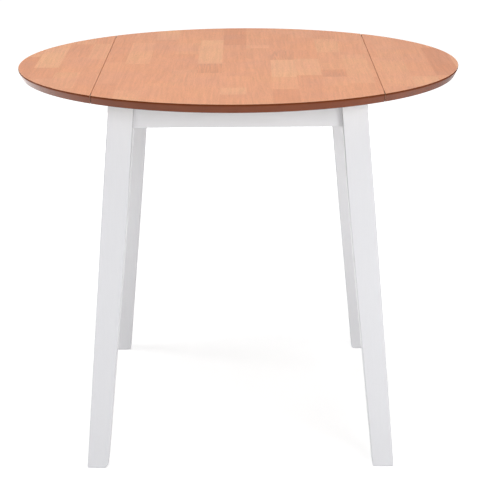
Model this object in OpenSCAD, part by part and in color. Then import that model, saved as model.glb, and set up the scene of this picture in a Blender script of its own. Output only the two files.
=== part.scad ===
// Round table with two drop leaves on a frame of four splayed legs.
// Each leaf swings on two butt hinges and is held by one slotted steel stay.

/* [Top] */
// Height of the table's upper face above the floor
table_h = 754; // [650:1:900]
// Diameter of the round top
top_d = 914.4; // [800:0.1:1150]
// Thickness of the top boards
top_t = 17.5; // [14:0.5:30]
// How far the underside's edge stands in from the rim
undercut = 7; // [0:0.5:15]
// Height of the upright band above the undercut
rim_land = 3; // [1:0.5:10]
// Width of the fixed centre board
centre_w = 558; // [440:1:680]
// Gap between the centre board and a leaf
seam_gap = 1; // [0.5:0.1:3]

/* [Legs] */
// How far the legs' outer faces stand in from the centre board's long edges
side_inset = 30; // [20:1:60]
// How far the legs' outer faces stand in from the top's ends
end_inset = 136.2; // [110:0.1:180]
// How far each foot stands out beyond the leg's head, each way
leg_splay = 57.5; // [0:0.5:90]
// Width of the leg at its head
leg_w = 51; // [35:0.5:70]
// Width of the foot
foot_w = 42; // [25:0.5:60]
// Height at which the leg starts to taper
taper_z = 546; // [200:1:600]

/* [Frame] */
// Height of the aprons
apron_h = 58; // [50:1:100]
// Thickness of the aprons
apron_t = 18; // [15:0.5:28]
// How far the aprons stand in from the legs' outer faces
apron_recess = 15; // [5:0.5:20]
// Thickness of the corner blocks
block_t = 26; // [20:1:35]
// Height of the corner blocks
block_h = 48; // [30:1:50]
// Width of the flat on the leg that the corner block bears on, at its narrow end
flat_w = 9; // [5:0.5:14]

/* [Hinges] */
// Distance from the end of the seam to the middle of a hinge
hinge_end = 145; // [60:1:180]
// Length of a hinge along the seam
hinge_l = 60; // [40:1:80]
// Reach of each hinge plate from the pin
hinge_w = 34; // [25:1:40]
// Thickness of the hinge plates
hinge_t = 1.5; // [1:0.1:2.5]
// Outer radius of the hinge knuckles
knuckle_r = 3.2; // [2.8:0.1:5]
// Radius of the hinge pin
pin_r = 1.6; // [1.2:0.1:2]

/* [Stays] */
// Distance of the stay's stud below the apron
stud_drop = 20; // [17:0.5:35]
// Distance of the stay's pivot below the leaf
pivot_drop = 12.5; // [11.5:0.5:25]
// Width of the stay's arm
arm_w = 16; // [13:0.5:22]
// Thickness of the stay's arm
arm_t = 3; // [2:0.5:5]
// Radius of the stay's stud and pivot
rivet_r = 2.5; // [2:0.1:3]
// Thickness of the stay's brackets
bracket_t = 2; // [1.5:0.1:3]

/* [Fixings] */
// Length of the bracket plates that screw to the apron and to the leaf
bracket_l = 50; // [40:1:70]
// Radius of the wood screws
screw_r = 1.6; // [1.2:0.1:2]
// Length of the screws that go into the top boards
top_screw_l = 12; // [8:0.5:13]
// Length of the screws that hold angles and brackets to the aprons
frame_screw_l = 16; // [10:0.5:16]
// Length of the screws that hold the corner blocks to the aprons
block_screw_l = 26; // [20:1:27]
// Radius of the hanger bolts
bolt_r = 3; // [2.5:0.5:5]
// How far a hanger bolt goes into its leg
bolt_in = 32; // [20:1:40]
// Length of both legs of the steel angles that hold the top
angle_l = 24; // [18:1:35]
// Width of the steel angles
angle_w = 20; // [14:1:30]
// Distance of the angles from the middle of the end aprons
angle_x = 90; // [30:1:110]
// Distance of the angles from the middle of the side aprons
angle_y = 150; // [50:1:170]
// Radius of the foot glides
glide_r = 9; // [6:0.5:12]

/* [Hidden] */
$fn = 48;

LEFT = -1;
RIGHT = 1;
FRONT = -1;
BACK = 1;

// Clearances
screw_clear = 0.1;
press_clear = 0.02;
running_clear = 0.05;
slot_clear = 0.1;
knuckle_clear = 0.3;
bolt_clear = 0.25;
glide_clear = 0.2;

// Heights
under_z = table_h - top_t;
apron_z = under_z - apron_h;
block_z = apron_z + (apron_h - block_h) / 2;
bolt_z = block_z + block_h / 2;

// Plan of the top
top_r = top_d / 2;
under_r = top_r - undercut;
seam_x = (centre_w + seam_gap) / 2;
seam_half = sqrt(top_r * top_r - seam_x * seam_x);

// Plan of the frame: outer faces of the legs' heads and the aprons' faces
frame_x = centre_w / 2 - side_inset;
frame_y = top_r - end_inset;
apron_x = frame_x - apron_recess;
apron_y = frame_y - apron_recess;
inner_x = apron_x - apron_t;
inner_y = apron_y - apron_t;

// Legs
glide_t = 3;
glide_proud = 1;
glide_chamfer = 0.6;
glide_nail_r = 1.2;
glide_nail_l = 12;
foot_z = glide_proud;

// Distance that a leg has moved outwards at height z
function spread(z) = leg_splay * (under_z - z) / under_z;

// Corner blocks lie between two upright planes across the corner, where x + y is constant
corner_sum = frame_x + frame_y - 2 * leg_w + 2 * spread(apron_z);
flat_sum = corner_sum + flat_w / sqrt(2);
block_sum = flat_sum - block_t * sqrt(2);
bolt_x = (flat_sum + frame_x - frame_y) / 2;
bolt_y = flat_sum - bolt_x;
block_screw_in = 16;

// Hinges
hinge_y = seam_half - hinge_end;
pin_drop = knuckle_r + knuckle_clear;
pin_z = under_z - pin_drop;
knuckles = 5;
knuckle_l = hinge_l / knuckles;
hinge_relief = knuckle_r + 0.4;
hinge_screw_end = 8;
hinge_screw_edge = 10;
hinge_screw_step = 8;

// Screws
pan_r = 3.3;
pan_h = 2.4;
recess_l = 3.5;
recess_w = 0.9;
recess_h = 0.9;
angle_screw_edge = 9;

// Hanger bolts
washer_r = 8;
washer_t = 1.6;
nut_r = 5.8;
nut_t = 5;
bolt_tail = 3;

// Stays: stud and pivot lie at one distance from the hinge pin, so an arm turns half as
// far as its leaf and its slot stays on the stud all the way.
stud_x = seam_x - apron_x + apron_t / 2;
stud_z = apron_h - pin_drop + stud_drop;
stay_r = sqrt(stud_x * stud_x + stud_z * stud_z);
pivot_z = pivot_drop - pin_drop;
pivot_x = sqrt(stay_r * stay_r - pivot_z * pivot_z);
stay_open = sqrt(pow(pivot_x + stud_x, 2) + pow(stud_z - pivot_z, 2));
stay_angle = atan2(stud_z - pivot_z, pivot_x + stud_x);
apex_angle = 2 * asin(stay_open / 2 / stay_r);
stay_shut = 2 * stay_r * sin((apex_angle - 90) / 2);
slot_r = rivet_r + slot_clear;
notch_in = 2.4;
bracket_w = 18;
ear_r = 7.5;
ear_gap = arm_t / 2 + knuckle_clear;
ear_y = ear_gap + bracket_t;
rivet_head_r = 4.4;
rivet_head_t = 1.4;
bracket_screw_end = 8;
bracket_screw_y = bracket_l / 2 - bracket_screw_end;

// ---- Helpers ----

// Flat outline in X and Z, thickened from y0 to y1
module upright_x(y0, y1) {
  translate([0, y1, 0])
    rotate([90, 0, 0])
      linear_extrude(y1 - y0)
        children();
}

// Flat outline in Y and Z, thickened from x0 to x1
module upright_y(x0, x1) {
  translate([x0, 0, 0])
    rotate([90, 0, 90])
      linear_extrude(x1 - x0)
        children();
}

// Draws for the right or back, mirrored for the left or front
module side(sx, sy = BACK) {
  mirror([sx < 0 ? 1 : 0, 0, 0])
    mirror([0, sy < 0 ? 1 : 0, 0])
      children();
}

// Cross-shaped recess in a screw's head, whose face is at z = 0
module drive_recess() {
  for (a = [0, 90])
    rotate([0, 0, a])
      translate([-recess_l / 2, -recess_w / 2, -recess_h])
        cube([recess_l, recess_w, recess_h * 2]);
}

// Countersunk screw along +Z, its head's face at z = 0
module csk_screw(l, head_t) {
  difference() {
    union() {
      cylinder(h = head_t, r1 = screw_r + head_t, r2 = screw_r);
      cylinder(h = l, r = screw_r);
    }
    drive_recess();
  }
}

module csk_hole(l, head_t) {
  grown_r = screw_r + screw_clear;
  cylinder(h = head_t, r1 = grown_r + head_t, r2 = grown_r);
  cylinder(h = l + screw_clear, r = grown_r);
  translate([0, 0, -head_t])
    cylinder(h = head_t, r = grown_r + head_t);
}

// Pan-head screw along +Z, seated at z = 0
module pan_screw(l) {
  difference() {
    union() {
      translate([0, 0, -pan_h]) cylinder(h = pan_h, r = pan_r);
      cylinder(h = l, r = screw_r);
    }
    translate([0, 0, -pan_h]) drive_recess();
  }
}

module pan_hole(l) {
  translate([0, 0, -block_t])
    cylinder(h = block_t, r = pan_r + screw_clear);
  cylinder(h = l + screw_clear, r = screw_r + screw_clear);
}

// ---- Top ----

module top_disc() {
  rotate_extrude($fn = 180)
    polygon([
      [0, under_z],
      [under_r, under_z],
      [top_r, table_h - rim_land],
      [top_r, table_h],
      [0, table_h]
    ]);
}

module top_centre() {
  color("#e6ab89")
    difference() {
      intersection() {
        top_disc();
        translate([-centre_w / 2, -top_d, 0])
          cube([centre_w, 2 * top_d, table_h * 2]);
      }
      for (sx = [LEFT, RIGHT])
        at_hinge_screws(sx, -1) csk_hole(top_screw_l, hinge_t);
      at_angles() at_angle_top_screw() csk_hole(top_screw_l, bracket_t);
    }
}

module leaf(sx) {
  color("#e6ab89")
    difference() {
      intersection() {
        top_disc();
        side(sx)
          translate([centre_w / 2 + seam_gap, -top_d, 0])
            cube([top_d, 2 * top_d, table_h * 2]);
      }
      at_hinge_screws(sx, 1) csk_hole(top_screw_l, hinge_t);
      at_leaf_bracket_screws(sx) csk_hole(top_screw_l, bracket_t);
    }
}

// ---- Frame ----

module apron_end(sy) {
  head = frame_x - leg_w;
  color("#e9e9e7")
    difference() {
      side(RIGHT, sy)
        upright_x(inner_y, apron_y)
          polygon([
            [-head - spread(apron_z), apron_z],
            [head + spread(apron_z), apron_z],
            [head, under_z],
            [-head, under_z]
          ]);
      for (sx = [LEFT, RIGHT]) {
        side(sx, sy) at_end_block_screw() pan_hole(block_screw_l);
        side(sx, sy) at_end_angle() at_angle_apron_screw() csk_hole(frame_screw_l, bracket_t);
      }
    }
}

module apron_side(sx) {
  head = frame_y - leg_w;
  color("#e9e9e7")
    difference() {
      side(sx)
        upright_y(inner_x, apron_x)
          polygon([
            [-head - spread(apron_z), apron_z],
            [head + spread(apron_z), apron_z],
            [head, under_z],
            [-head, under_z]
          ]);
      for (sy = [FRONT, BACK]) {
        side(sx, sy) at_side_block_screw() pan_hole(block_screw_l);
        side(sx, sy) at_side_angle() at_angle_apron_screw() csk_hole(frame_screw_l, bracket_t);
      }
      at_apron_bracket_screws(sx) csk_hole(frame_screw_l, bracket_t);
    }
}

// Outline of a leg in one upright plane, with its outer face at head_x under the top
module leg_outline(head_x) {
  foot_x = head_x + spread(foot_z);
  knee_x = head_x + spread(taper_z);
  polygon([
    [foot_x - foot_w, foot_z],
    [foot_x, foot_z],
    [head_x, under_z],
    [head_x - leg_w, under_z],
    [knee_x - leg_w, taper_z]
  ]);
}

module leg(sx, sy) {
  color("#f2f2f1")
    side(sx, sy)
      difference() {
        intersection() {
          upright_x(0, top_d) leg_outline(frame_x);
          upright_y(0, top_d) leg_outline(frame_y);
        }
        translate([0, 0, apron_z])
          linear_extrude(apron_h * 2)
            polygon([[0, 0], [flat_sum, 0], [0, flat_sum]]);
        at_hanger_bolt()
          translate([0, 0, -block_t])
            cylinder(h = block_t + bolt_in + screw_clear, r = bolt_r + press_clear);
        at_foot() {
          cylinder(h = glide_t, r = glide_r + glide_clear);
          cylinder(h = glide_t + glide_nail_l + press_clear, r = glide_nail_r + press_clear);
        }
      }
}

module corner_block(sx, sy) {
  color("#cfae86")
    side(sx, sy)
      difference() {
        translate([0, 0, block_z])
          linear_extrude(block_h)
            polygon([
              [inner_x, flat_sum - inner_x],
              [flat_sum - inner_y, inner_y],
              [block_sum - inner_y, inner_y],
              [inner_x, block_sum - inner_x]
            ]);
        at_hanger_bolt()
          translate([0, 0, -block_t * 2])
            cylinder(h = block_t * 3, r = bolt_r + bolt_clear);
        at_end_block_screw() pan_hole(block_screw_l);
        at_side_block_screw() pan_hole(block_screw_l);
      }
}

// +Z of the child points along the bolt into the leg, from the leg's flat
module at_hanger_bolt() {
  translate([bolt_x, bolt_y, bolt_z])
    rotate([0, 0, 45])
      rotate([0, 90, 0])
        children();
}

module at_foot() {
  translate([
    frame_x + spread(foot_z) - foot_w / 2,
    frame_y + spread(foot_z) - foot_w / 2,
    0
  ])
    children();
}

module at_end_block_screw() {
  translate([block_sum - inner_y + block_screw_in, inner_y - block_screw_in + pan_r, bolt_z])
    rotate([-90, 0, 0])
      children();
}

module at_side_block_screw() {
  translate([inner_x - block_screw_in + pan_r, block_sum - inner_x + block_screw_in, bolt_z])
    rotate([0, 90, 0])
      children();
}

module at_corners() {
  for (sx = [LEFT, RIGHT])
    for (sy = [FRONT, BACK])
      side(sx, sy)
        children();
}

module hanger_bolts() {
  color("#b9bcc0")
    at_corners()
      at_hanger_bolt()
        translate([0, 0, -block_t - washer_t - nut_t - bolt_tail])
          cylinder(h = bolt_tail + nut_t + washer_t + block_t + bolt_in, r = bolt_r);
}

module hanger_washers() {
  color("#b9bcc0")
    at_corners()
      at_hanger_bolt()
        translate([0, 0, -block_t - washer_t])
          difference() {
            cylinder(h = washer_t, r = washer_r);
            translate([0, 0, -washer_t])
              cylinder(h = washer_t * 3, r = bolt_r + bolt_clear);
          }
}

module hanger_nuts() {
  color("#b9bcc0")
    at_corners()
      at_hanger_bolt()
        translate([0, 0, -block_t - washer_t - nut_t])
          difference() {
            cylinder(h = nut_t, r = nut_r, $fn = 6);
            translate([0, 0, -nut_t])
              cylinder(h = nut_t * 3, r = bolt_r + press_clear);
          }
}

module corner_block_screws() {
  color("#b9bcc0")
    at_corners() {
      at_end_block_screw() pan_screw(block_screw_l);
      at_side_block_screw() pan_screw(block_screw_l);
    }
}

module foot_glides() {
  color("#d8d8d6")
    at_corners()
      at_foot() {
        cylinder(h = glide_chamfer, r1 = glide_r - glide_chamfer, r2 = glide_r);
        translate([0, 0, glide_chamfer])
          cylinder(h = glide_t - glide_chamfer, r = glide_r);
        cylinder(h = glide_t + glide_nail_l, r = glide_nail_r);
      }
}

// ---- Angles that hold the top to the frame ----

// The child's corner lies where the apron meets the top, +X into the frame
module at_end_angle() {
  translate([angle_x, inner_y, under_z])
    rotate([0, 0, -90])
      children();
}

module at_side_angle() {
  translate([inner_x, angle_y, under_z])
    rotate([0, 0, 180])
      children();
}

module at_angles() {
  at_corners() {
    at_end_angle() children();
    at_side_angle() children();
  }
}

module at_angle_top_screw() {
  translate([angle_l - angle_screw_edge, 0, -bracket_t])
    children();
}

module at_angle_apron_screw() {
  translate([bracket_t, 0, -angle_l + angle_screw_edge])
    rotate([0, -90, 0])
      children();
}

module steel_angle() {
  difference() {
    upright_x(-angle_w / 2, angle_w / 2)
      polygon([
        [0, 0],
        [angle_l, 0],
        [angle_l, -bracket_t],
        [bracket_t, -bracket_t],
        [bracket_t, -angle_l],
        [0, -angle_l]
      ]);
    at_angle_top_screw() csk_hole(top_screw_l, bracket_t);
    at_angle_apron_screw() csk_hole(frame_screw_l, bracket_t);
  }
}

module top_angles() {
  color("#b9bcc0")
    at_angles()
      steel_angle();
}

module top_angle_screws() {
  color("#b9bcc0")
    at_angles() {
      at_angle_top_screw() csk_screw(top_screw_l, bracket_t);
      at_angle_apron_screw() csk_screw(frame_screw_l, bracket_t);
    }
}

// ---- Hinges ----

// The child's origin is the middle of the hinge pin, +X towards the leaf
module at_hinges(sx) {
  for (sy = [FRONT, BACK])
    side(sx, sy)
      translate([seam_x, hinge_y, pin_z])
        children();
}

// Screws of the plate on the centre board (part -1) or on the leaf (part 1)
module at_hinge_screws(sx, part) {
  outer_x = hinge_w - hinge_screw_edge;
  outer_y = hinge_l / 2 - hinge_screw_end;
  spots = [[outer_x, outer_y], [outer_x, -outer_y], [outer_x - hinge_screw_step, 0]];
  at_hinges(sx)
    for (p = spots)
      translate([part * p[0], p[1], pin_drop - hinge_t])
        children();
}

// Ends of knuckle i along the pin
function knuckle_y(i) = -hinge_l / 2 + i * knuckle_l;

// Plate with the knuckles named in its list, lying on the side that part points to
module hinge_plate(part, own, bore_r) {
  gap = own[0] == 0 ? 0 : knuckle_clear;
  difference() {
    union() {
      translate([part > 0 ? hinge_relief : -hinge_w, -hinge_l / 2, pin_drop - hinge_t])
        cube([hinge_w - hinge_relief, hinge_l, hinge_t]);
      for (i = own) {
        translate([part > 0 ? 0 : -hinge_relief, knuckle_y(i) + gap, pin_drop - hinge_t])
          cube([hinge_relief, knuckle_l - 2 * gap, hinge_t]);
        translate([0, knuckle_y(i) + gap, 0])
          rotate([-90, 0, 0])
            cylinder(h = knuckle_l - 2 * gap, r = knuckle_r);
      }
    }
    translate([0, -hinge_l, 0])
      rotate([-90, 0, 0])
        cylinder(h = hinge_l * 2, r = bore_r);
  }
}

module hinge_top_plates(sx) {
  color("#c8b273")
    difference() {
      at_hinges(sx) hinge_plate(-1, [0, 2, 4], pin_r + press_clear);
      at_hinge_screws(sx, -1) csk_hole(top_screw_l, hinge_t);
    }
}

module hinge_leaf_plates(sx) {
  color("#c8b273")
    difference() {
      at_hinges(sx) hinge_plate(1, [1, 3], pin_r + running_clear);
      at_hinge_screws(sx, 1) csk_hole(top_screw_l, hinge_t);
    }
}

module hinge_pins(sx) {
  color("#c8b273")
    at_hinges(sx)
      translate([0, -hinge_l / 2, 0])
        rotate([-90, 0, 0])
          cylinder(h = hinge_l, r = pin_r);
}

module hinge_top_screws(sx) {
  color("#c8b273")
    at_hinge_screws(sx, -1) csk_screw(top_screw_l, hinge_t);
}

module hinge_leaf_screws(sx) {
  color("#c8b273")
    at_hinge_screws(sx, 1) csk_screw(top_screw_l, hinge_t);
}

// ---- Stays ----

module at_stud(sx) {
  side(sx)
    translate([seam_x - stud_x, 0, pin_z - stud_z])
      children();
}

module at_pivot(sx) {
  side(sx)
    translate([seam_x + pivot_x, 0, pin_z - pivot_z])
      children();
}

module at_apron_bracket_screws(sx) {
  at_stud(sx)
    for (y = [-bracket_screw_y, bracket_screw_y])
      translate([0, y, stud_drop - bracket_t])
        children();
}

module at_leaf_bracket_screws(sx) {
  at_pivot(sx)
    for (y = [-bracket_screw_y, bracket_screw_y])
      translate([0, y, pivot_drop - bracket_t])
        children();
}

// Channel bracket: a plate drop above the origin, with two ears down to the origin
module stay_bracket(drop) {
  difference() {
    union() {
      translate([-bracket_w / 2, -bracket_l / 2, drop - bracket_t])
        cube([bracket_w, bracket_l, bracket_t]);
      for (y = [-ear_y, ear_gap])
        upright_x(y, y + bracket_t) {
          translate([-ear_r, 0]) square([2 * ear_r, drop]);
          circle(r = ear_r);
        }
    }
    upright_x(-bracket_l, bracket_l) circle(r = rivet_r + press_clear);
  }
}

module rivet() {
  upright_x(-ear_y, ear_y) circle(r = rivet_r);
  for (y = [-ear_y - rivet_head_t, ear_y])
    upright_x(y, y + rivet_head_t) circle(r = rivet_head_r);
}

// Bar with round ends from x0 to x1 along its middle line
module round_bar(x0, x1, r) {
  translate([x0, -r]) square([x1 - x0, 2 * r]);
  translate([x0, 0]) circle(r = r);
  translate([x1, 0]) circle(r = r);
}

module stay_arm(sx) {
  color("#b9bcc0")
    at_pivot(sx)
      rotate([0, 180 - stay_angle, 0])
        upright_x(-arm_t / 2, arm_t / 2)
          difference() {
            round_bar(0, stay_open + slot_r, arm_w / 2);
            circle(r = rivet_r + running_clear);
            round_bar(stay_shut - slot_clear, stay_open + slot_clear, slot_r);
            translate([stay_open, -notch_in]) circle(r = slot_r);
          }
}

module stay_apron_bracket(sx) {
  color("#b9bcc0")
    difference() {
      at_stud(sx) stay_bracket(stud_drop);
      at_apron_bracket_screws(sx) csk_hole(frame_screw_l, bracket_t);
    }
}

module stay_leaf_bracket(sx) {
  color("#b9bcc0")
    difference() {
      at_pivot(sx) stay_bracket(pivot_drop);
      at_leaf_bracket_screws(sx) csk_hole(top_screw_l, bracket_t);
    }
}

module stay_stud(sx) {
  color("#8f9296") at_stud(sx) rivet();
}

module stay_pivot(sx) {
  color("#8f9296") at_pivot(sx) rivet();
}

module stay_apron_screws(sx) {
  color("#b9bcc0")
    at_apron_bracket_screws(sx) csk_screw(frame_screw_l, bracket_t);
}

module stay_leaf_screws(sx) {
  color("#b9bcc0")
    at_leaf_bracket_screws(sx) csk_screw(top_screw_l, bracket_t);
}

// ---- Nodes ----

top_centre();
leaf(LEFT);  // leaf_left
leaf(RIGHT);  // leaf_right
apron_end(FRONT);  // apron_front
apron_end(BACK);  // apron_back
apron_side(LEFT);  // apron_left
apron_side(RIGHT);  // apron_right
leg(LEFT, FRONT);  // leg_front_left
leg(RIGHT, FRONT);  // leg_front_right
leg(LEFT, BACK);  // leg_back_left
leg(RIGHT, BACK);  // leg_back_right
corner_block(LEFT, FRONT);  // corner_block_front_left
corner_block(RIGHT, FRONT);  // corner_block_front_right
corner_block(LEFT, BACK);  // corner_block_back_left
corner_block(RIGHT, BACK);  // corner_block_back_right
hanger_bolts();
hanger_washers();
hanger_nuts();
corner_block_screws();
top_angles();
top_angle_screws();
foot_glides();
hinge_top_plates(LEFT);  // hinge_top_plates_left
hinge_top_plates(RIGHT);  // hinge_top_plates_right
hinge_leaf_plates(LEFT);  // hinge_leaf_plates_left
hinge_leaf_plates(RIGHT);  // hinge_leaf_plates_right
hinge_pins(LEFT);  // hinge_pins_left
hinge_pins(RIGHT);  // hinge_pins_right
hinge_top_screws(LEFT);  // hinge_top_screws_left
hinge_top_screws(RIGHT);  // hinge_top_screws_right
hinge_leaf_screws(LEFT);  // hinge_leaf_screws_left
hinge_leaf_screws(RIGHT);  // hinge_leaf_screws_right
stay_arm(LEFT);  // stay_arm_left
stay_arm(RIGHT);  // stay_arm_right
stay_apron_bracket(LEFT);  // stay_apron_bracket_left
stay_apron_bracket(RIGHT);  // stay_apron_bracket_right
stay_leaf_bracket(LEFT);  // stay_leaf_bracket_left
stay_leaf_bracket(RIGHT);  // stay_leaf_bracket_right
stay_stud(LEFT);  // stay_stud_left
stay_stud(RIGHT);  // stay_stud_right
stay_pivot(LEFT);  // stay_pivot_left
stay_pivot(RIGHT);  // stay_pivot_right
stay_apron_screws(LEFT);  // stay_apron_screws_left
stay_apron_screws(RIGHT);  // stay_apron_screws_right
stay_leaf_screws(LEFT);  // stay_leaf_screws_left
stay_leaf_screws(RIGHT);  // stay_leaf_screws_right
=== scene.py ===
import math
import random

import bmesh
import bpy
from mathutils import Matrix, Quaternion, Vector


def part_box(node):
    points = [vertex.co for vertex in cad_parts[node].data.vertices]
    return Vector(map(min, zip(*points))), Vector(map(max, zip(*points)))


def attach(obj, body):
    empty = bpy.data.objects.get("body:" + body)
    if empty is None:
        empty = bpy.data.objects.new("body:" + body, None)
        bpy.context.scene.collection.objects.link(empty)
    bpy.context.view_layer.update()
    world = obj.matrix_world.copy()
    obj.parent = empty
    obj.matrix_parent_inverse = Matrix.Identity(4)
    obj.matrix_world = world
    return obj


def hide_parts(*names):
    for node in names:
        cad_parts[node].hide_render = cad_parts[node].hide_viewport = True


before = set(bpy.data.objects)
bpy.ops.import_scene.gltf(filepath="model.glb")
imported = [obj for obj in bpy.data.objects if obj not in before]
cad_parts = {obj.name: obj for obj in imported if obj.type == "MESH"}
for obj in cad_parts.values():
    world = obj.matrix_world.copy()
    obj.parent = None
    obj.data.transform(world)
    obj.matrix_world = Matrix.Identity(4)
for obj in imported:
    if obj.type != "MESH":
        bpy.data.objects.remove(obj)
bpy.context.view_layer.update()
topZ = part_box("top_centre")[1].z
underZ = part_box("leg_front_left")[1].z
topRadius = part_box("top_centre")[1].y
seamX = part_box("top_centre")[1].x
bevelReach = 0.007  # how far the rim's bevel runs in under the top


def paintColour(red, green, blue):
    # a colour as read off a chart, 0 to 255, turned into shader values
    linear = []
    for part in (red, green, blue):
        value = part / 255
        linear.append(value / 12.92 if value <= 0.04045 else ((value + 0.055) / 1.055) ** 2.4)
    return (*linear, 1.0)


def put(tree, kind, inputs=None, **settings):
    # a node with its inputs linked or set
    node = tree.nodes.new(kind)
    for name, value in settings.items():
        setattr(node, name, value)
    for name, value in (inputs or {}).items():
        if isinstance(value, bpy.types.NodeSocket):
            tree.links.new(value, node.inputs[name])
        else:
            node.inputs[name].default_value = value
    return node


def calc(tree, operation, first, second=0.0, third=0.0):
    return put(tree, "ShaderNodeMath", {0: first, 1: second, 2: third}, operation=operation).outputs[0]


def remap(tree, value, low, high, outLow=0.0, outHigh=1.0, smooth=True):
    node = put(
        tree,
        "ShaderNodeMapRange",
        {"Value": value, "From Min": low, "From Max": high, "To Min": outLow, "To Max": outHigh},
    )
    node.interpolation_type = "SMOOTHSTEP" if smooth else "LINEAR"
    return node.outputs["Result"]


def blendColour(tree, amount, first, second, mode="MIX"):
    # sockets 0, 6 and 7 are the amount and the two colours
    values = {0: amount, 6: first, 7: second}
    return put(tree, "ShaderNodeMix", values, data_type="RGBA", blend_type=mode).outputs[2]


def ramp(tree, value, stops):
    node = put(tree, "ShaderNodeValToRGB", {"Fac": value})
    band = node.color_ramp
    while len(band.elements) < len(stops):
        band.elements.new(0.5)
    for element, (place, colour) in zip(band.elements, stops):
        element.position = place
        element.color = colour
    return node.outputs["Color"]


def startGroup(name, inputs, outputs):
    tree = bpy.data.node_groups.new(name, "ShaderNodeTree")
    for socketName, kind, value in inputs:
        socket = tree.interface.new_socket(name=socketName, in_out="INPUT", socket_type=kind)
        if value is not None:
            socket.default_value = value
    for socketName, kind in outputs:
        tree.interface.new_socket(name=socketName, in_out="OUTPUT", socket_type=kind)
    entry = tree.nodes.new("NodeGroupInput")
    leave = tree.nodes.new("NodeGroupOutput")
    return tree, entry.outputs, leave.inputs


def addBump(tree, surface, strength, distance, height):
    settings = {"Strength": strength, "Distance": distance, "Height": height}
    bump = put(tree, "ShaderNodeBump", settings)
    tree.links.new(bump.outputs["Normal"], surface.inputs["Normal"])


def useGroup(tree, group, inputs):
    return put(tree, "ShaderNodeGroup", inputs, node_tree=group).outputs


def newMaterial(name):
    material = bpy.data.materials.new(name)
    material.use_nodes = True
    tree = material.node_tree
    tree.nodes.clear()
    surface = tree.nodes.new("ShaderNodeBsdfPrincipled")
    output = tree.nodes.new("ShaderNodeOutputMaterial")
    tree.links.new(surface.outputs["BSDF"], output.inputs["Surface"])
    places = tree.nodes.new("ShaderNodeTexCoord")
    return material, tree, surface, places.outputs


floatSocket = "NodeSocketFloat"
vectorSocket = "NodeSocketVector"


def makeGrainGroup():
    # streaks along Y: fine fibres, broad growth bands and short open pores
    tree, given, result = startGroup(
        "wood grain",
        [
            ("Vector", vectorSocket, None),
            ("Seed", floatSocket, 0.0),
            ("Fibre Scale", floatSocket, 200.0),
            ("Band Scale", floatSocket, 60.0),
            ("Stretch", floatSocket, 0.04),
            ("Drift", floatSocket, 0.06),
        ],
        [("Fibre", floatSocket), ("Band", floatSocket), ("Pores", floatSocket)],
    )
    parts = put(tree, "ShaderNodeSeparateXYZ", {"Vector": given["Vector"]}).outputs
    lean = calc(tree, "MULTIPLY", calc(tree, "SUBTRACT", given["Seed"], 0.5), given["Drift"])
    across = calc(tree, "MULTIPLY_ADD", parts["Y"], lean, parts["X"])
    along = calc(tree, "MULTIPLY", parts["Y"], given["Stretch"])
    depth = calc(tree, "MULTIPLY_ADD", given["Seed"], 3.7, parts["Z"])
    flow = put(tree, "ShaderNodeCombineXYZ", {"X": across, "Y": along, "Z": depth}).outputs[0]
    broad = put(
        tree,
        "ShaderNodeTexNoise",
        {"Vector": flow, "Scale": given["Fibre Scale"], "Detail": 2.0, "Roughness": 0.55},
    ).outputs["Fac"]
    fine = put(
        tree,
        "ShaderNodeTexNoise",
        {
            "Vector": flow,
            "Scale": calc(tree, "MULTIPLY", given["Fibre Scale"], 6.0),
            "Detail": 3.0,
            "Roughness": 0.7,
        },
    ).outputs["Fac"]
    softLines = calc(tree, "MULTIPLY", remap(tree, broad, 0.28, 0.72), 0.45)
    crispLines = calc(tree, "MULTIPLY", remap(tree, fine, 0.30, 0.70), 0.55)
    tree.links.new(calc(tree, "ADD", softLines, crispLines), result["Fibre"])
    band = put(
        tree,
        "ShaderNodeTexNoise",
        {
            "Vector": flow,
            "Scale": given["Band Scale"],
            "Detail": 2.0,
            "Roughness": 0.5,
            "Distortion": 0.6,
        },
    ).outputs["Fac"]
    ringCount = 46.0
    rings = calc(tree, "SINE", calc(tree, "MULTIPLY", band, ringCount))
    tree.links.new(remap(tree, rings, -0.7, 1.0), result["Band"])
    shorter = calc(tree, "MULTIPLY", along, 2.0)
    dashFlow = put(tree, "ShaderNodeCombineXYZ", {"X": across, "Y": shorter, "Z": depth}).outputs[0]
    dashes = put(
        tree,
        "ShaderNodeTexNoise",
        {"Vector": dashFlow, "Scale": calc(tree, "MULTIPLY", given["Fibre Scale"], 9.0), "Detail": 0.0},
    ).outputs["Fac"]
    tree.links.new(remap(tree, dashes, 0.66, 0.76), result["Pores"])
    return tree


def makeArrisGroup():
    # 1 on rounded edges and 0 on faces that look along an axis
    tree, given, result = startGroup(
        "arris mask",
        [("Normal", vectorSocket, None), ("Flat", floatSocket, 0.992), ("Round", floatSocket, 0.94)],
        [("Mask", floatSocket)],
    )
    size = put(tree, "ShaderNodeVectorMath", {0: given["Normal"]}, operation="ABSOLUTE").outputs[0]
    parts = put(tree, "ShaderNodeSeparateXYZ", {"Vector": size}).outputs
    widest = calc(tree, "MAXIMUM", calc(tree, "MAXIMUM", parts["X"], parts["Y"]), parts["Z"])
    tree.links.new(remap(tree, widest, given["Flat"], given["Round"]), result["Mask"])
    return tree


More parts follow.
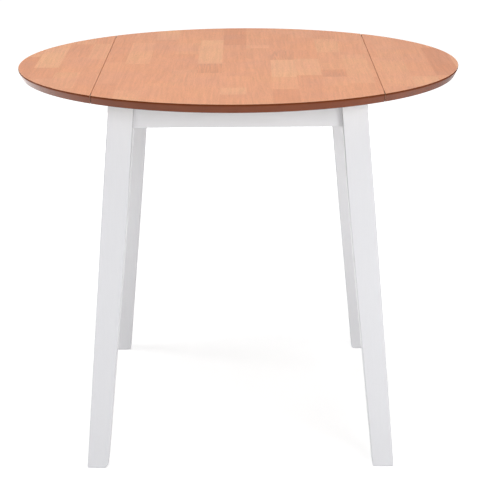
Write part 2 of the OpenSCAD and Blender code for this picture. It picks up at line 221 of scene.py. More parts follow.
def makeMottleGroup():
    # soft patches and fine grit, for uneven sheen
    tree, given, result = startGroup(
        "mottle",
        [
            ("Vector", vectorSocket, None),
            ("Patch Scale", floatSocket, 9.0),
            ("Grit Scale", floatSocket, 900.0),
        ],
        [("Patch", floatSocket), ("Grit", floatSocket)],
    )
    patch = put(
        tree,
        "ShaderNodeTexNoise",
        {"Vector": given["Vector"], "Scale": given["Patch Scale"], "Detail": 3.0, "Roughness": 0.55},
    ).outputs["Fac"]
    tree.links.new(remap(tree, patch, 0.3, 0.7), result["Patch"])
    grit = put(
        tree,
        "ShaderNodeTexNoise",
        {"Vector": given["Vector"], "Scale": given["Grit Scale"], "Detail": 2.0},
    ).outputs["Fac"]
    tree.links.new(grit, result["Grit"])
    return tree


def makeScratchGroup():
    # thin crossed scratches on plated metal
    tree, given, result = startGroup(
        "scratches",
        [("Vector", vectorSocket, None), ("Scale", floatSocket, 700.0)],
        [("Mask", floatSocket)],
    )
    sets = []
    for turn, seed in ((0.35, 1.3), (-0.9, 4.1), (1.5, 7.7)):
        turned = put(
            tree,
            "ShaderNodeMapping",
            {
                "Vector": given["Vector"],
                "Location": (seed, seed, seed),
                "Rotation": (turn, turn * 0.6, turn),
                "Scale": (1.0, 0.05, 1.0),
            },
        ).outputs[0]
        lines = put(
            tree,
            "ShaderNodeTexNoise",
            {"Vector": turned, "Scale": given["Scale"], "Detail": 1.0},
        ).outputs["Fac"]
        sets.append(remap(tree, lines, 0.66, 0.74))
    tree.links.new(calc(tree, "MAXIMUM", calc(tree, "MAXIMUM", sets[0], sets[1]), sets[2]), result["Mask"])
    return tree


grainGroup = makeGrainGroup()
arrisGroup = makeArrisGroup()
mottleGroup = makeMottleGroup()
scratchGroup = makeScratchGroup()
print("shared effects ready")


topWood = {
    "tones": [
        (0.0, paintColour(218, 145, 105)),
        (0.35, paintColour(230, 157, 116)),
        (0.6, paintColour(235, 164, 122)),
        (1.0, paintColour(241, 180, 135)),
    ],
    "fibreTint": (0.50, 0.42, 0.34, 1.0),
    "fibreDepth": 0.5,
    "streakShift": 0.20,
    "patchShift": 0.30,
    "bandDepth": 0.32,
    "bandColour": (0.35, 0.16, 0.09, 1.0),
    "poreDepth": 0.45,
    "poreColour": (0.30, 0.13, 0.07, 1.0),
    # painted highlight: colour of the lighter line along the top arris
    "arrisHighlight": paintColour(236, 184, 146),
    "highlightDepth": 0.8,
    "arrisWidth": 0.0016,
    "roughness": 0.46,
    "specular": 0.25,
    "under": [
        (0.0, paintColour(186, 171, 151)),
        (0.5, paintColour(202, 189, 170)),
        (1.0, paintColour(216, 206, 189)),
    ],
    "underRoughness": 0.70,
    "stainCreep": 0.007,
    "creepStain": paintColour(128, 84, 60),
    # stain and painted shade: near black on the seam walls close to the rim
    "seamDarkReach": 0.022,
    "seamStainAndShade": paintColour(30, 14, 8),
}
bevelStain = {
    "light": paintColour(128, 60, 18),
    "dark": paintColour(109, 48, 10),
    "roughness": 0.16,
    "specular": 0.36,
}
# stained like the bevel, and painted darker still as shade on the upright band under the top edge
landStainAndShade = {
    "light": paintColour(111, 52, 18),
    "dark": paintColour(100, 44, 13),
    "roughness": 0.50,
    "specular": 0.12,
}


def makeTopWood(look):
    material, tree, surface, place = newMaterial("satin stave wood")
    tone = put(tree, "ShaderNodeAttribute", attribute_name="staveTone").outputs["Fac"]
    seed = put(tree, "ShaderNodeAttribute", attribute_name="staveSeed").outputs["Fac"]
    figure = put(tree, "ShaderNodeAttribute", attribute_name="staveFigure").outputs["Fac"]
    grain = useGroup(tree, grainGroup, {"Vector": place["Object"], "Seed": seed})
    mottle = useGroup(tree, mottleGroup, {"Vector": place["Object"]})
    parts = put(tree, "ShaderNodeSeparateXYZ", {"Vector": place["Object"]}).outputs
    facing = put(tree, "ShaderNodeSeparateXYZ", {"Vector": place["Normal"]}).outputs
    flatPlace = put(tree, "ShaderNodeCombineXYZ", {"X": parts["X"], "Y": parts["Y"]}).outputs[0]
    reach = put(tree, "ShaderNodeVectorMath", {0: flatPlace}, operation="LENGTH").outputs["Value"]
    streaks = calc(tree, "MULTIPLY", calc(tree, "SUBTRACT", grain["Fibre"], 0.5), look["streakShift"])
    patches = calc(tree, "MULTIPLY", calc(tree, "SUBTRACT", mottle["Patch"], 0.5), look["patchShift"])
    drift = calc(tree, "ADD", calc(tree, "ADD", tone, streaks), patches)
    wood = ramp(tree, drift, look["tones"])
    fibreShade = calc(tree, "MULTIPLY", grain["Fibre"], look["fibreDepth"])
    wood = blendColour(tree, fibreShade, wood, look["fibreTint"], "MULTIPLY")
    bandAmount = calc(tree, "MULTIPLY", calc(tree, "MULTIPLY", grain["Band"], figure), look["bandDepth"])
    wood = blendColour(tree, bandAmount, wood, look["bandColour"])
    poreAmount = calc(tree, "MULTIPLY", grain["Pores"], look["poreDepth"])
    wood = blendColour(tree, poreAmount, wood, look["poreColour"])
    # painted highlight: a lighter line along the round of the top arris
    scuffAndHighlight = remap(tree, reach, topRadius - look["arrisWidth"], topRadius - look["arrisWidth"] * 0.5)
    wood = blendColour(tree, calc(tree, "MULTIPLY", scuffAndHighlight, look["highlightDepth"]), wood, look["arrisHighlight"])
    # the edge stain runs a little way into the ends of the seams, and is painted near black there as the
    # shade in the gap
    seamWall = remap(tree, calc(tree, "ABSOLUTE", facing["X"]), 0.5, 0.8)
    nearRim = remap(tree, reach, topRadius - look["seamDarkReach"] * 1.4, topRadius - look["seamDarkReach"])
    wood = blendColour(tree, calc(tree, "MULTIPLY", seamWall, nearRim), wood, look["seamStainAndShade"])
    # underneath the wood is only sealed, and the edge stain has crept in from the rim
    raw = ramp(tree, drift, look["under"])
    raw = blendColour(tree, fibreShade, raw, look["fibreTint"], "MULTIPLY")
    offset = calc(tree, "MULTIPLY", calc(tree, "SUBTRACT", mottle["Patch"], 0.5), look["stainCreep"])
    creepEnd = topRadius - bevelReach - look["stainCreep"] * 0.5
    crept = remap(tree, calc(tree, "ADD", reach, offset), creepEnd - look["stainCreep"], creepEnd)
    raw = blendColour(tree, crept, raw, look["creepStain"])
    underside = remap(tree, facing["Z"], -0.7, -0.95)
    tree.links.new(blendColour(tree, underside, wood, raw), surface.inputs["Base Color"])
    sheen = calc(tree, "MULTIPLY_ADD", mottle["Patch"], 0.07, look["roughness"])
    duller = calc(tree, "MULTIPLY", underside, look["underRoughness"] - look["roughness"])
    tree.links.new(calc(tree, "ADD", sheen, duller), surface.inputs["Roughness"])
    surface.inputs["Specular IOR Level"].default_value = look["specular"]
    relief = calc(tree, "MULTIPLY_ADD", grain["Pores"], -0.6, grain["Fibre"])
    addBump(tree, surface, 0.12, 0.0004, relief)
    return material


def makeEdgeStain(name, look):
    material, tree, surface, place = newMaterial(name)
    parts = put(tree, "ShaderNodeSeparateXYZ", {"Vector": place["Object"]}).outputs
    mottle = useGroup(tree, mottleGroup, {"Vector": place["Object"], "Patch Scale": 22.0})
    around = calc(tree, "ARCTAN2", parts["Y"], parts["X"])
    ringFlow = put(
        tree,
        "ShaderNodeCombineXYZ",
        {"X": parts["Z"], "Y": calc(tree, "MULTIPLY", around, topRadius), "Z": parts["Z"]},
    ).outputs[0]
    lines = {"Vector": ringFlow, "Seed": 0.5, "Fibre Scale": 420.0, "Stretch": 0.06}
    grain = useGroup(tree, grainGroup, lines)
    cloudy = calc(tree, "MULTIPLY", mottle["Patch"], 0.4)
    streaky = calc(tree, "MULTIPLY_ADD", grain["Fibre"], 0.6, cloudy)
    tree.links.new(blendColour(tree, streaky, look["light"], look["dark"]), surface.inputs["Base Color"])
    sheen = calc(tree, "MULTIPLY_ADD", mottle["Patch"], 0.06, look["roughness"])
    tree.links.new(sheen, surface.inputs["Roughness"])
    surface.inputs["Specular IOR Level"].default_value = look["specular"]
    addBump(tree, surface, 0.08, 0.0003, grain["Fibre"])
    return material


whitePaint = {
    "colour": paintColour(233, 233, 236),
    # grey for the darkened arrises, and for the painted shade on the inner sides of the legs
    "arrisAndShadeGrey": paintColour(180, 180, 183),
    "outerArrisDark": (0.16, 0.13),
    "innerArrisShade": 0.2,
    "highShadeHeights": (0.45, 0.68),
    "highFaceShade": 0.35,
    "brushDepth": 0.025,
    "roughness": 0.40,
}


def makeWhitePaint(name, look, turn, paintedInnerShade):
    # turn brings the piece's length onto Y, where the grain runs
    material, tree, surface, place = newMaterial(name)
    turned = put(tree, "ShaderNodeMapping", {"Vector": place["Object"], "Rotation": turn}).outputs[0]
    grain = useGroup(tree, grainGroup, {"Vector": turned, "Fibre Scale": 260.0, "Stretch": 0.02})
    spots = {"Vector": place["Object"], "Patch Scale": 6.0, "Grit Scale": 1400.0}
    mottle = useGroup(tree, mottleGroup, spots)
    arris = useGroup(tree, arrisGroup, {"Normal": place["Normal"]})["Mask"]
    shade = calc(tree, "MULTIPLY_ADD", grain["Fibre"], look["brushDepth"], 1 - look["brushDepth"])
    colour = blendColour(tree, 1.0, look["colour"], shade, "MULTIPLY")
    # the arrises are darkened a little, in patches
    patchy = calc(tree, "MULTIPLY_ADD", mottle["Patch"], *look["outerArrisDark"])
    darkening = calc(tree, "MULTIPLY", arris, patchy)
    if paintedInnerShade:
        # painted shade: the inner sides are darkened, most of all high up on the front legs, where the top
        # and aprons shade them
        parts = put(tree, "ShaderNodeSeparateXYZ", {"Vector": place["Object"]}).outputs
        facing = put(tree, "ShaderNodeSeparateXYZ", {"Vector": place["Normal"]}).outputs
        inward = calc(tree, "MULTIPLY", facing["X"], calc(tree, "SIGN", parts["X"]))
        innerSide = remap(tree, inward, -0.15, -0.45)
        high = remap(tree, parts["Z"], *look["highShadeHeights"])
        high = calc(tree, "MULTIPLY", high, remap(tree, parts["Y"], 0.0, -0.05))
        strength = remap(tree, high, 0, 1, look["innerArrisShade"], 1, smooth=False)
        onArris = calc(tree, "MULTIPLY", arris, strength)
        onFace = calc(tree, "MULTIPLY", high, look["highFaceShade"])
        inner = calc(tree, "MULTIPLY", innerSide, calc(tree, "MAXIMUM", onArris, onFace))
        darkening = calc(tree, "MAXIMUM", darkening, inner)
    colour = blendColour(tree, darkening, colour, look["arrisAndShadeGrey"])
    tree.links.new(colour, surface.inputs["Base Color"])
    sheen = calc(tree, "MULTIPLY_ADD", mottle["Patch"], 0.08, look["roughness"])
    tree.links.new(sheen, surface.inputs["Roughness"])
    relief = calc(tree, "MULTIPLY_ADD", grain["Fibre"], 0.5, mottle["Grit"])
    addBump(tree, surface, 0.10, 0.0003, relief)
    return material


blockWood = {
    "light": paintColour(222, 192, 150),
    "dark": paintColour(188, 150, 104),
    "pore": (0.2, 0.11, 0.05, 1.0),
    "roughness": 0.72,
}


def makeBlockWood(look):
    material, tree, surface, place = newMaterial("bare sawn wood")
    # each block stands across its corner, and its grain runs the same way
    parts = put(tree, "ShaderNodeSeparateXYZ", {"Vector": place["Object"]}).outputs
    corner = calc(tree, "SIGN", calc(tree, "MULTIPLY", parts["X"], parts["Y"]))
    turned = calc(tree, "MULTIPLY", corner, parts["Y"])
    outward = calc(tree, "MULTIPLY", calc(tree, "ADD", parts["X"], turned), math.sqrt(0.5))
    lengthwise = calc(tree, "MULTIPLY", calc(tree, "SUBTRACT", parts["X"], turned), math.sqrt(0.5))
    flow = put(tree, "ShaderNodeCombineXYZ", {"X": outward, "Y": lengthwise, "Z": parts["Z"]}).outputs[0]
    grain = useGroup(tree, grainGroup, {"Vector": flow, "Seed": 0.3, "Stretch": 0.08})
    mottle = useGroup(tree, mottleGroup, {"Vector": place["Object"], "Patch Scale": 30.0})
    mixed = calc(tree, "MULTIPLY_ADD", grain["Band"], 0.5, calc(tree, "MULTIPLY", grain["Fibre"], 0.5))
    colour = blendColour(tree, mixed, look["light"], look["dark"])
    colour = blendColour(tree, calc(tree, "MULTIPLY", grain["Pores"], 0.4), colour, look["pore"])
    tree.links.new(colour, surface.inputs["Base Color"])
    sheen = calc(tree, "MULTIPLY_ADD", mottle["Patch"], 0.12, look["roughness"])
    tree.links.new(sheen, surface.inputs["Roughness"])
    relief = calc(tree, "MULTIPLY_ADD", grain["Pores"], -0.8, grain["Fibre"])
    addBump(tree, surface, 0.35, 0.0005, relief)
    return material


zincPlate = {
    "bright": paintColour(208, 210, 214),
    "dull": paintColour(168, 171, 178),
    "roughness": 0.30,
    "streaks": 420.0,
}
brassPlate = {
    "bright": paintColour(214, 184, 118),
    "dull": paintColour(186, 152, 90),
    "roughness": 0.34,
    "streaks": 520.0,
}


def makePlate(name, look):
    material, tree, surface, place = newMaterial(name)
    spots = {"Vector": place["Object"], "Patch Scale": 70.0, "Grit Scale": 2600.0}
    mottle = useGroup(tree, mottleGroup, spots)
    marks = useGroup(tree, scratchGroup, {"Vector": place["Object"], "Scale": look["streaks"]})["Mask"]
    arris = useGroup(tree, arrisGroup, {"Normal": place["Normal"], "Flat": 0.98, "Round": 0.85})["Mask"]
    offArris = calc(tree, "SUBTRACT", 1.0, calc(tree, "MULTIPLY", arris, 0.6))
    tarnish = calc(tree, "MULTIPLY", mottle["Patch"], offArris)
    colour = blendColour(tree, tarnish, look["bright"], look["dull"])
    colour = blendColour(tree, calc(tree, "MULTIPLY", marks, 0.35), colour, look["bright"])
    tree.links.new(colour, surface.inputs["Base Color"])
    surface.inputs["Metallic"].default_value = 1.0
    sheen = calc(tree, "MULTIPLY_ADD", mottle["Patch"], 0.14, look["roughness"])
    sheen = calc(tree, "MULTIPLY_ADD", marks, 0.12, sheen)
    tree.links.new(sheen, surface.inputs["Roughness"])
    relief = calc(tree, "MULTIPLY_ADD", marks, -0.5, mottle["Grit"])
    addBump(tree, surface, 0.12, 0.0001, relief)
    return material


glideNylon = {
    "colour": paintColour(222, 221, 214),
    "scuffed": paintColour(176, 172, 162),
    "roughness": 0.48,
}


def makeGlideNylon(look):
    material, tree, surface, place = newMaterial("moulded nylon")
    spots = {"Vector": place["Object"], "Patch Scale": 160.0, "Grit Scale": 3000.0}
    mottle = useGroup(tree, mottleGroup, spots)
    marks = useGroup(tree, scratchGroup, {"Vector": place["Object"], "Scale": 900.0})["Mask"]
    facing = put(tree, "ShaderNodeSeparateXYZ", {"Vector": place["Normal"]}).outputs
    sole = remap(tree, facing["Z"], -0.6, -0.95)
    cloudy = calc(tree, "MULTIPLY", mottle["Patch"], 0.4)
    scuffAndHighlight = calc(tree, "MULTIPLY", sole, calc(tree, "MULTIPLY_ADD", marks, 0.5, cloudy))
    tree.links.new(blendColour(tree, scuffAndHighlight, look["colour"], look["scuffed"]), surface.inputs["Base Color"])
    tree.links.new(calc(tree, "MULTIPLY_ADD", scuffAndHighlight, 0.2, look["roughness"]), surface.inputs["Roughness"])
    addBump(tree, surface, 0.15, 0.0001, mottle["Grit"])
    return material


quarter = math.pi / 2
finishes = {
    "top": makeTopWood(topWood),
    "bevel": makeEdgeStain("dark stained edge", bevelStain),
    "land": makeEdgeStain("stained land with painted shade", landStainAndShade),
    "leg": makeWhitePaint("white paint on legs", whitePaint, (quarter, 0, 0), True),
    "endApron": makeWhitePaint("white paint on end aprons", whitePaint, (0, 0, quarter), False),
    "sideApron": makeWhitePaint("white paint on side aprons", whitePaint, (0, 0, 0), False),
    "block": makeBlockWood(blockWood),
    "zinc": makePlate("bright zinc plate", zincPlate),
    "brass": makePlate("dull brass plate", brassPlate),
    "nylon": makeGlideNylon(glideNylon),
}
print("finishes ready:", len(finishes))


close = 0.001  # two heights or places closer than this count as one
weldReach = 0.00002  # points closer than this are welded
flatAngle = math.radians(0.5)  # faces that turn less than this are one face


def cleanCopy(node):
    # the node's mesh with its flat faces whole again
    mesh = bmesh.new()
    mesh.from_mesh(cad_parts[node].data)
    bmesh.ops.remove_doubles(mesh, verts=mesh.verts, dist=weldReach)
    bmesh.ops.dissolve_limit(
        mesh,
        angle_limit=flatAngle,
        verts=mesh.verts,
        edges=mesh.edges,
        use_dissolve_boundaries=False,
    )
    return mesh


def turnAt(edge):
    # how sharply the two faces of an edge turn, in degrees
    return math.degrees(edge.calc_face_angle(0))


def roundEdges(mesh, chosen, radius, segments=3):
    edges = [edge for edge in mesh.edges if len(edge.link_faces) == 2 and chosen(edge)]
    if edges:
        bmesh.ops.bevel(
            mesh,
            geom=edges,
            offset=radius,
            offset_type="OFFSET",
            segments=segments,
            profile=0.5,
            affect="EDGES",
            clamp_overlap=True,
        )
    return len(edges)


def finishPiece(mesh, name, node, body, material, sharpAngle=28):
    for face in mesh.faces:
        face.smooth = True
    for edge in mesh.edges:
        edge.smooth = len(edge.link_faces) == 2 and turnAt(edge) < sharpAngle
    data = bpy.data.meshes.new(name)
    mesh.to_mesh(data)
    mesh.free()
    piece = bpy.data.objects.new(name, data)
    bpy.context.scene.collection.objects.link(piece)
    data.materials.append(material)
    weighted = piece.modifiers.new("flat faces stay flat", "WEIGHTED_NORMAL")
    weighted.keep_sharp = True
    weighted.weight = 100
    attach(piece, body)
    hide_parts(node)
    return piece


# staves run front to back; each column is cut into lengths, and some staves stand out
boards = {
    "centreBoard": {"node": "top_centre", "body": "frame", "firstJoint": -0.2355, "seed": 11},
    "leftLeaf": {"node": "leaf_left", "body": "leaf_left", "firstJoint": -0.421, "seed": 5},
    "rightLeaf": {"node": "leaf_right", "body": "leaf_right", "firstJoint": 0.2955, "seed": 8},
}
boardLook = {
    "landWidth": 0.0036,
    "edgeRound": 0.0009,
    "seamRound": 0.0004,
    "seamReach": 0.0016,
    "seamTilt": 0.45,
    "rimTilt": 0.80,
    "cornerAngle": 18,
    "staveWidth": 0.0505,
    "staveLength": (0.13, 0.33),
    "narrowest": 0.004,
    "shortest": 0.02,
    "tone": (0.50, 0.14),  # middle and spread
    "striping": (-0.4, 0.4),  # below 0 is none
}
# x, y from, y to, tone 0 dark to 1 pale, striping
specialStaves = [
    (-0.008, 0.215, 0.470, 0.13, 0.1),
    (-0.008, -0.020, 0.215, 0.42, 0.2),
    (-0.059, -0.020, 0.285, 0.86, 0.1),
    (-0.059, -0.130, -0.020, 0.32, 0.8),
    (0.042, -0.460, 0.170, 0.50, 0.3),
    (0.093, 0.020, 0.130, 0.42, 0.8),
    (0.093, -0.180, 0.020, 0.92, 0.2),
    (0.144, -0.160, 0.030, 0.80, 0.2),
    (-0.160, 0.060, 0.290, 0.42, 0.2),
    (-0.008, -0.360, -0.290, 0.82, 0.1),
    (0.195, 0.110, 0.290, 0.70, 0.2),
    (0.245, -0.250, -0.080, 0.68, 0.3),
    (0.195, -0.180, -0.100, 0.26, 0.5),
    (-0.400, -0.055, 0.190, 0.88, 0.1),
    (-0.400, -0.180, -0.055, 0.36, 0.2),
    (-0.350, 0.075, 0.240, 0.36, 0.3),
    (0.422, -0.170, 0.160, 0.00, 0.2),
    (0.372, -0.290, -0.180, 0.80, 0.1),
]


def layStaves(first, low, high, seed):
    # a list of (x from, x to, [(y from, y to, tone, striping), ...])
    draw = random.Random(seed)
    joints = [low]
    nextJoint = first
    while nextJoint < high - boardLook["narrowest"]:
        if nextJoint > low + boardLook["narrowest"]:
            joints.append(nextJoint)
        nextJoint += boardLook["staveWidth"]
    joints.append(high)
    columns = []
    for left, right in zip(joints, joints[1:]):
        cuts = [-topRadius]
        while cuts[-1] < topRadius:
            cuts.append(cuts[-1] + draw.uniform(*boardLook["staveLength"]))
        staves = []
        for near, far in zip(cuts, cuts[1:]):
            tone = min(1.0, max(0.0, draw.gauss(*boardLook["tone"])))
            striping = max(0.0, draw.uniform(*boardLook["striping"]))
            staves.append([near, far, tone, striping])
        for x, start, end, tone, striping in specialStaves:
            if left <= x < right:
                kept = []
                for near, far, oldTone, oldStriping in staves:
                    if near < start:
                        kept.append([near, min(far, start), oldTone, oldStriping])
                    if far > end:
                        kept.append([max(near, end), far, oldTone, oldStriping])
                kept.append([start, end, tone, striping])
                staves = sorted(stave for stave in kept if stave[1] - stave[0] > boardLook["shortest"])
        columns.append((left, right, staves))
    return columns


def cutAcross(mesh, faces, point, direction):
    edges = {edge for face in faces for edge in face.edges}
    verts = {vert for face in faces for vert in face.verts}
    bmesh.ops.bisect_plane(
        mesh, geom=[*verts, *edges, *faces], dist=weldReach / 2, plane_co=point, plane_no=direction
    )


def atRim(vert):
    return math.hypot(vert.co.x, vert.co.y) > topRadius - bevelReach - close / 2


def atSeam(vert):
    return abs(abs(vert.co.x) - seamX) < boardLook["seamReach"]


def onOutline(edge):
    if turnAt(edge) < boardLook["cornerAngle"]:
        return False
    return all(atRim(vert) or (atSeam(vert) and vert.co.z > topZ - close / 10) for vert in edge.verts)


def onSeam(edge):
    return onOutline(edge) and all(atSeam(vert) for vert in edge.verts)


def onRim(edge):
    return onOutline(edge) and not onSeam(edge)


def makeBoard(name, plan):
    mesh = cleanCopy(plan["node"])
    rounded = roundEdges(mesh, onSeam, boardLook["seamRound"])
    rounded += roundEdges(mesh, onRim, boardLook["edgeRound"])
    low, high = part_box(plan["node"])
    columns = layStaves(plan["firstJoint"], low.x, high.x, plan["seed"])
    for column in columns[1:]:
        cutAcross(mesh, mesh.faces[:], (column[0], 0, 0), (1, 0, 0))
    for left, right, staves in columns:
        for stave in staves[1:]:
            inColumn = [face for face in mesh.faces if left < face.calc_center_median().x < right]
            cutAcross(mesh, inColumn, (0, stave[0], 0), (0, 1, 0))
    toneLayer = mesh.faces.layers.float.new("staveTone")
    seedLayer = mesh.faces.layers.float.new("staveSeed")
    figureLayer = mesh.faces.layers.float.new("staveFigure")
    for face in mesh.faces:
        middle = face.calc_center_median()
        for number, (left, right, staves) in enumerate(columns):
            if left <= middle.x <= right or number == len(columns) - 1:
                chosen = min(staves, key=lambda stave: max(stave[0] - middle.y, middle.y - stave[1], 0))
                break
        face[toneLayer] = chosen[2]
        face[figureLayer] = chosen[3]
        # any steady number from 0 to 1, so that neighbours don't share their grain
        face[seedLayer] = (chosen[0] * 7.13 + number * 0.37 + plan["seed"]) % 1.0
        tilt = face.normal.z
        inSeam = tilt < boardLook["seamTilt"] and all(atSeam(vert) for vert in face.verts)
        if tilt < boardLook["rimTilt"] and not inSeam and all(atRim(vert) for vert in face.verts):
            face.material_index = 2 if middle.z > topZ - boardLook["landWidth"] else 1
    piece = finishPiece(mesh, name, plan["node"], plan["body"], finishes["top"])
    piece.data.materials.append(finishes["bevel"])
    piece.data.materials.append(finishes["land"])
    print(name, "rounded", rounded, "edges,", sum(len(column[2]) for column in columns), "staves")


for boardName, boardPlan in boards.items():
    makeBoard(boardName, boardPlan)

legLook = {
    "arris": 0.0024,
    "longEdge": 0.020,
    "cornerAngle": 60,
    "toeHeight": 0.02,
    "toeEdge": 0.006,
    "toeAngle": 30,
    "softToes": {"leg_front_left": 0.006, "leg_back_right": 0.0035},
}
apronLook = {"arris": 0.0016, "longEdge": 0.060, "cornerAngle": 60}
blockLook = {"arris": 0.0010, "longEdge": 0.012, "cornerAngle": 30}


def makeLeg(name, node):
    mesh = cleanCopy(node)
    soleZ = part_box(node)[0].z
    innerX = min(abs(vert.co.x) for vert in mesh.verts if vert.co.z < soleZ + close)

    def arris(edge):
        if min(vert.co.z for vert in edge.verts) > underZ - close:
            return False
        angle = turnAt(edge)
        if max(vert.co.z for vert in edge.verts) < soleZ + legLook["toeHeight"]:
            return angle > legLook["toeAngle"] and edge.calc_length() > legLook["toeEdge"]
        return angle > legLook["cornerAngle"] and edge.calc_length() > legLook["longEdge"]

    def innerToe(edge):
        return all(vert.co.z < soleZ + close and abs(vert.co.x) < innerX + close for vert in edge.verts)

    # two of the toes have been knocked round on the inside
    if node in legLook["softToes"]:
        roundEdges(mesh, innerToe, legLook["softToes"][node], 1)
    rounded = roundEdges(mesh, arris, legLook["arris"], 4)
    finishPiece(mesh, name, node, "frame", finishes["leg"])
    print(name, "rounded", rounded, "edges")


def makeApron(name, node, material):
    mesh = cleanCopy(node)
    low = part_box(node)[0]

    def arris(edge):
        if turnAt(edge) < apronLook["cornerAngle"] or edge.calc_length() < apronLook["longEdge"]:
            return False
        return max(vert.co.z for vert in edge.verts) < low.z + close

    rounded = roundEdges(mesh, arris, apronLook["arris"])
    finishPiece(mesh, name, node, "frame", material)
    print(name, "rounded", rounded, "edges")


def makeBlock(name, node):
    mesh = cleanCopy(node)

    def arris(edge):
        if turnAt(edge) < blockLook["cornerAngle"] or edge.calc_length() < blockLook["longEdge"]:
            return False
        return max(vert.co.z for vert in edge.verts) < underZ - close

    rounded = roundEdges(mesh, arris, blockLook["arris"], 2)
    finishPiece(mesh, name, node, "frame", finishes["block"])
    print(name, "rounded", rounded, "edges")


for end in ("front", "back"):
    for side in ("left", "right"):
        makeLeg(f"{end}{side.title()}Leg", f"leg_{end}_{side}")
        makeBlock(f"{end}{side.title()}Block", f"corner_block_{end}_{side}")
makeApron("frontApron", "apron_front", finishes["endApron"])
makeApron("backApron", "apron_back", finishes["endApron"])
makeApron("leftApron", "apron_left", finishes["sideApron"])
makeApron("rightApron", "apron_right", finishes["sideApron"])

# the ironwork keeps its own shapes and takes a plated finish
slotFinish = {
    "zinc_plated_steel": "zinc",
    "brass_plated_steel": "brass",
    "glide_plastic": "nylon",
}
dressed = 0
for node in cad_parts.values():
    for slot in node.material_slots:
        if slot.material and slot.material.name in slotFinish:
            slot.material = finishes[slotFinish[slot.material.name]]
            dressed += 1
print("ironwork dressed:", dressed)

studio = {
    "floorSize": 60.0,
    "floorColour": paintColour(219, 219, 220),
    "floorLift": (0.61, 0.97),
    "liftReach": (1.0, 3.2),
    "cornerGloss": 0.15,
    "cornerReach": (1.05, 1.85),
    "roomLevel": 0.10,
    "lamps": {
        "overhead": {"at": (0.0, -0.1, 2.9), "aim": (0, 0, 0.7), "size": (1.8, 1.8), "power": 39},
        "frontRight": {"at": (1.5, -2.7, 1.05), "aim": (0, 0, 0.6), "size": (1.4, 1.4), "power": 10},
        "highRight": {"at": (1.3, -2.7, 1.5), "aim": (0, 0, 0.6), "size": (1.4, 1.0), "power": 23},
        "frontLeft": {"at": (-0.95, -2.6, 1.02), "aim": (0, 0, 0.6), "size": (1.6, 1.4), "power": 12},
        "lowRight": {"at": (3.0, -0.9, 0.7), "aim": (0, 0, 0.45), "size": (1.4, 1.0), "power": 31},
        "sideLeft": {"at": (-3.2, -1.4, 1.2), "aim": (0, 0, 0.6), "size": (2.0, 1.8), "power": 15},
        "left": {"at": (-3.4, 0.4, 1.3), "aim": (0, 0, 0.6), "size": (2.2, 1.8), "power": 60},
        "behind": {"at": (0.0, 3.2, 0.42), "aim": (0, 0, 0.36), "size": (2.4, 0.6), "power": 25},
    },
    "noGlare": ("left", "sideLeft", "lowRight"),
}
cameraPlan = {
    "at": (0.0181, -3.6160, 1.3830),
    "aim": (0.0008, 0.0, 0.3666),
    "roll": -0.0078,
    "lens": 130.9,
    "sensor": 36.0,
}


def seenDirectly(tree):
    # 1 for rays that come from the eye, from gloss or through glass
    path = tree.nodes.new("ShaderNodeLightPath").outputs
    direct = calc(tree, "MAXIMUM", path["Is Camera Ray"], path["Is Glossy Ray"])
    return calc(tree, "MAXIMUM", direct, path["Is Transmission Ray"])


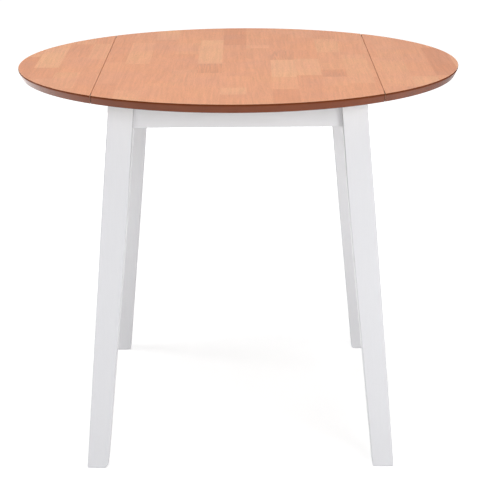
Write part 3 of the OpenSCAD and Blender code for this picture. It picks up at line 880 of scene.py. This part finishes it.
def makeFloor(plan):
    half = plan["floorSize"] / 2
    mesh = bmesh.new()
    bmesh.ops.create_grid(mesh, x_segments=12, y_segments=12, size=half)
    data = bpy.data.meshes.new("studioFloor")
    mesh.to_mesh(data)
    mesh.free()
    floor = bpy.data.objects.new("studioFloor", data)
    bpy.context.scene.collection.objects.link(floor)
    material = bpy.data.materials.new("pale studio floor")
    material.use_nodes = True
    tree = material.node_tree
    tree.nodes.clear()
    matt = put(tree, "ShaderNodeBsdfDiffuse", {"Color": plan["floorColour"]}).outputs[0]
    lift = put(tree, "ShaderNodeEmission", {"Color": (1, 1, 1, 1)})
    spot = tree.nodes.new("ShaderNodeTexCoord").outputs["Object"]
    distance = put(tree, "ShaderNodeVectorMath", {0: spot}, operation="LENGTH").outputs["Value"]
    brighter = remap(tree, distance, *plan["liftReach"], *plan["floorLift"])
    # gloss at the right of the table finds a dimmer floor behind it
    parts = put(tree, "ShaderNodeSeparateXYZ", {"Vector": spot}).outputs
    toCorner = calc(tree, "MULTIPLY_ADD", parts["Y"], 0.5, parts["X"])
    dimmer = remap(tree, toCorner, *plan["cornerReach"], 1.0, plan["cornerGloss"])
    glossy = tree.nodes.new("ShaderNodeLightPath").outputs["Is Glossy Ray"]
    fade = calc(tree, "MULTIPLY_ADD", calc(tree, "SUBTRACT", dimmer, 1.0), glossy, 1.0)
    level = calc(tree, "MULTIPLY", seenDirectly(tree), calc(tree, "MULTIPLY", brighter, fade))
    tree.links.new(level, lift.inputs["Strength"])
    both = put(tree, "ShaderNodeAddShader", {0: matt, 1: lift.outputs[0]}).outputs[0]
    clear = tree.nodes.new("ShaderNodeBsdfTransparent").outputs[0]
    back = tree.nodes.new("ShaderNodeNewGeometry").outputs["Backfacing"]
    mixed = put(tree, "ShaderNodeMixShader", {0: back, 1: both, 2: clear}).outputs[0]
    output = tree.nodes.new("ShaderNodeOutputMaterial")
    tree.links.new(mixed, output.inputs["Surface"])
    data.materials.append(material)


def makeRoom(plan):
    world = bpy.data.worlds.new("soft white room")
    world.use_nodes = True
    tree = world.node_tree
    tree.nodes.clear()
    level = calc(tree, "MULTIPLY_ADD", seenDirectly(tree), 1 - plan["roomLevel"], plan["roomLevel"])
    glow = put(tree, "ShaderNodeBackground", {"Color": (1, 1, 1, 1), "Strength": level})
    output = tree.nodes.new("ShaderNodeOutputWorld")
    tree.links.new(glow.outputs[0], output.inputs["Surface"])
    bpy.context.scene.world = world
    for name, lamp in plan["lamps"].items():
        light = bpy.data.lights.new(name, "AREA")
        light.shape = "RECTANGLE"
        light.size, light.size_y = lamp["size"]
        light.energy = lamp["power"]
        holder = bpy.data.objects.new(name, light)
        holder.visible_camera = False
        holder.visible_glossy = name not in plan["noGlare"]  # these would glare on the top
        bpy.context.scene.collection.objects.link(holder)
        holder.location = lamp["at"]
        direction = Vector(lamp["aim"]) - Vector(lamp["at"])
        holder.rotation_mode = "QUATERNION"
        holder.rotation_quaternion = direction.to_track_quat("-Z", "Y")


def makeCamera(plan):
    lens = bpy.data.cameras.new("camera")
    lens.sensor_fit = "HORIZONTAL"
    lens.sensor_width = plan["sensor"]
    lens.lens = plan["lens"]
    lens.clip_end = 100
    holder = bpy.data.objects.new("camera", lens)
    bpy.context.scene.collection.objects.link(holder)
    holder.location = plan["at"]
    direction = Vector(plan["aim"]) - Vector(plan["at"])
    holder.rotation_mode = "QUATERNION"
    level = direction.to_track_quat("-Z", "Y")
    holder.rotation_quaternion = level @ Quaternion((0, 0, 1), plan["roll"])
    bpy.context.scene.camera = holder


makeFloor(studio)
makeRoom(studio)
makeCamera(cameraPlan)
bpy.context.scene.view_settings.view_transform = "Standard"
print("floor, lamps and camera set")
